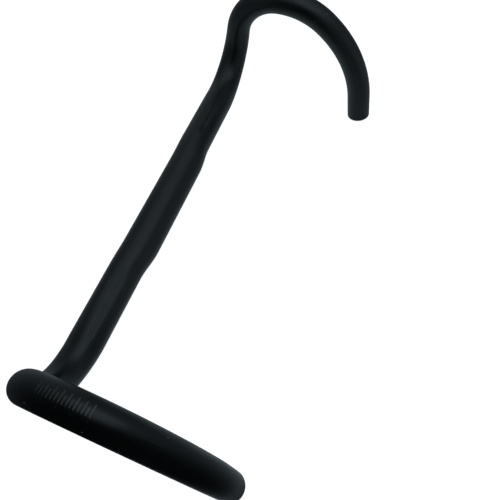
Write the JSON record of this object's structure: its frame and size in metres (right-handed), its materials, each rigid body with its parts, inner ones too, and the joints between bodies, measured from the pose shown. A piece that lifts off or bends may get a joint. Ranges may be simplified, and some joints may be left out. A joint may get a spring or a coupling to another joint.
{
  "type": "bicycle drop handlebar",
  "caption": "Compact road-bicycle drop handlebar: a bare black tube with a thick round stem clamp zone, oval swept tops with a front cable groove, and two forward hooks open at their ends.",
  "frame": {"origin": "centre of the stem clamp section, on the bar's mid-plane and on the clamp section's axis", "axes": "the bar lies on its back as on a bench; +X towards the rider's right along the clamp section, +Z the riding direction (up as it lies), +Y from the tops towards the drops (down in use)"},
  "size_m": [0.4318, 0.1729, 0.1219],
  "materials": {
    "satin_black_tube": "satin black coating over aluminium, soft broad highlights"
  },
  "bodies": {
    "root": {"clamp_section": "satin_black_tube", "left_taper": "satin_black_tube", "left_top": "satin_black_tube", "left_corner": "satin_black_tube", "left_upper_hook": "satin_black_tube", "left_middle_hook": "satin_black_tube", "left_lower_hook": "satin_black_tube", "left_drop": "satin_black_tube", "right_taper": "satin_black_tube", "right_top": "satin_black_tube", "right_corner": "satin_black_tube", "right_upper_hook": "satin_black_tube", "right_middle_hook": "satin_black_tube", "right_lower_hook": "satin_black_tube", "right_drop": "satin_black_tube"}
  },
  "joints": []
}
